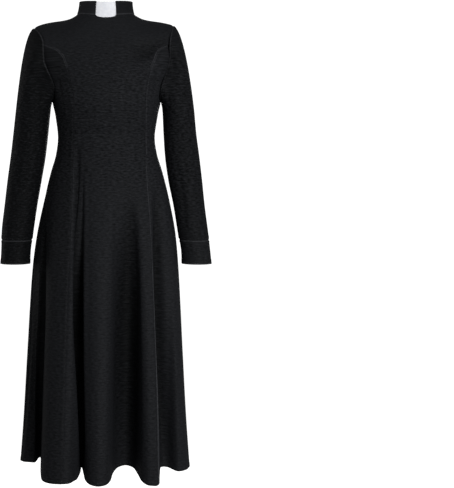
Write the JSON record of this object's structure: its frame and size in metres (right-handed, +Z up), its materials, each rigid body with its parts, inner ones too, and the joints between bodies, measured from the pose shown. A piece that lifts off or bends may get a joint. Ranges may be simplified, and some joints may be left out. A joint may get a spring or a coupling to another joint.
{
  "type": "clergy dress",
  "caption": "Full-length princess-seamed dress with stand collar, white tab, long sleeves and a back zip, filled out and hollow.",
  "frame": {"origin": "between the shoulders, on the plane of the shoulder seams and near the height of the neck seam, where the wearer carries the dress", "axes": "+Z up, -Y is the front of the dress, +X is the wearer's left side, which is the right side of the picture's front view"},
  "size_m": [0.554, 0.3208, 1.2242],
  "materials": {
    "black_knit": "soft black knit with a faint velvety sheen",
    "white_tab": "stiff white cloth, matte",
    "zip_metal": "dark metal, satin",
    "pull_metal": "dark metal, satin"
  },
  "bodies": {
    "dress": {"centre_front": "black_knit", "side_front_l": "black_knit", "side_front_r": "black_knit", "side_back_l": "black_knit", "side_back_r": "black_knit", "centre_back_l": "black_knit", "centre_back_r": "black_knit", "sleeve_l": "black_knit", "sleeve_r": "black_knit", "cuff_l": "black_knit", "cuff_r": "black_knit", "collar_l": "black_knit", "collar_r": "black_knit", "collar_tab": "white_tab", "zip_slider": "zip_metal"},
    "pull_tab": {"zip_pull": "pull_metal"}
  },
  "joints": [
    {"name": "zip_pull_swing", "type": "hinge", "parent": "dress", "child": "pull_tab", "pos_m": [0, 0.06, 0.036], "axis": [1, 0, 0], "range_deg": [0, 150]}
  ]
}
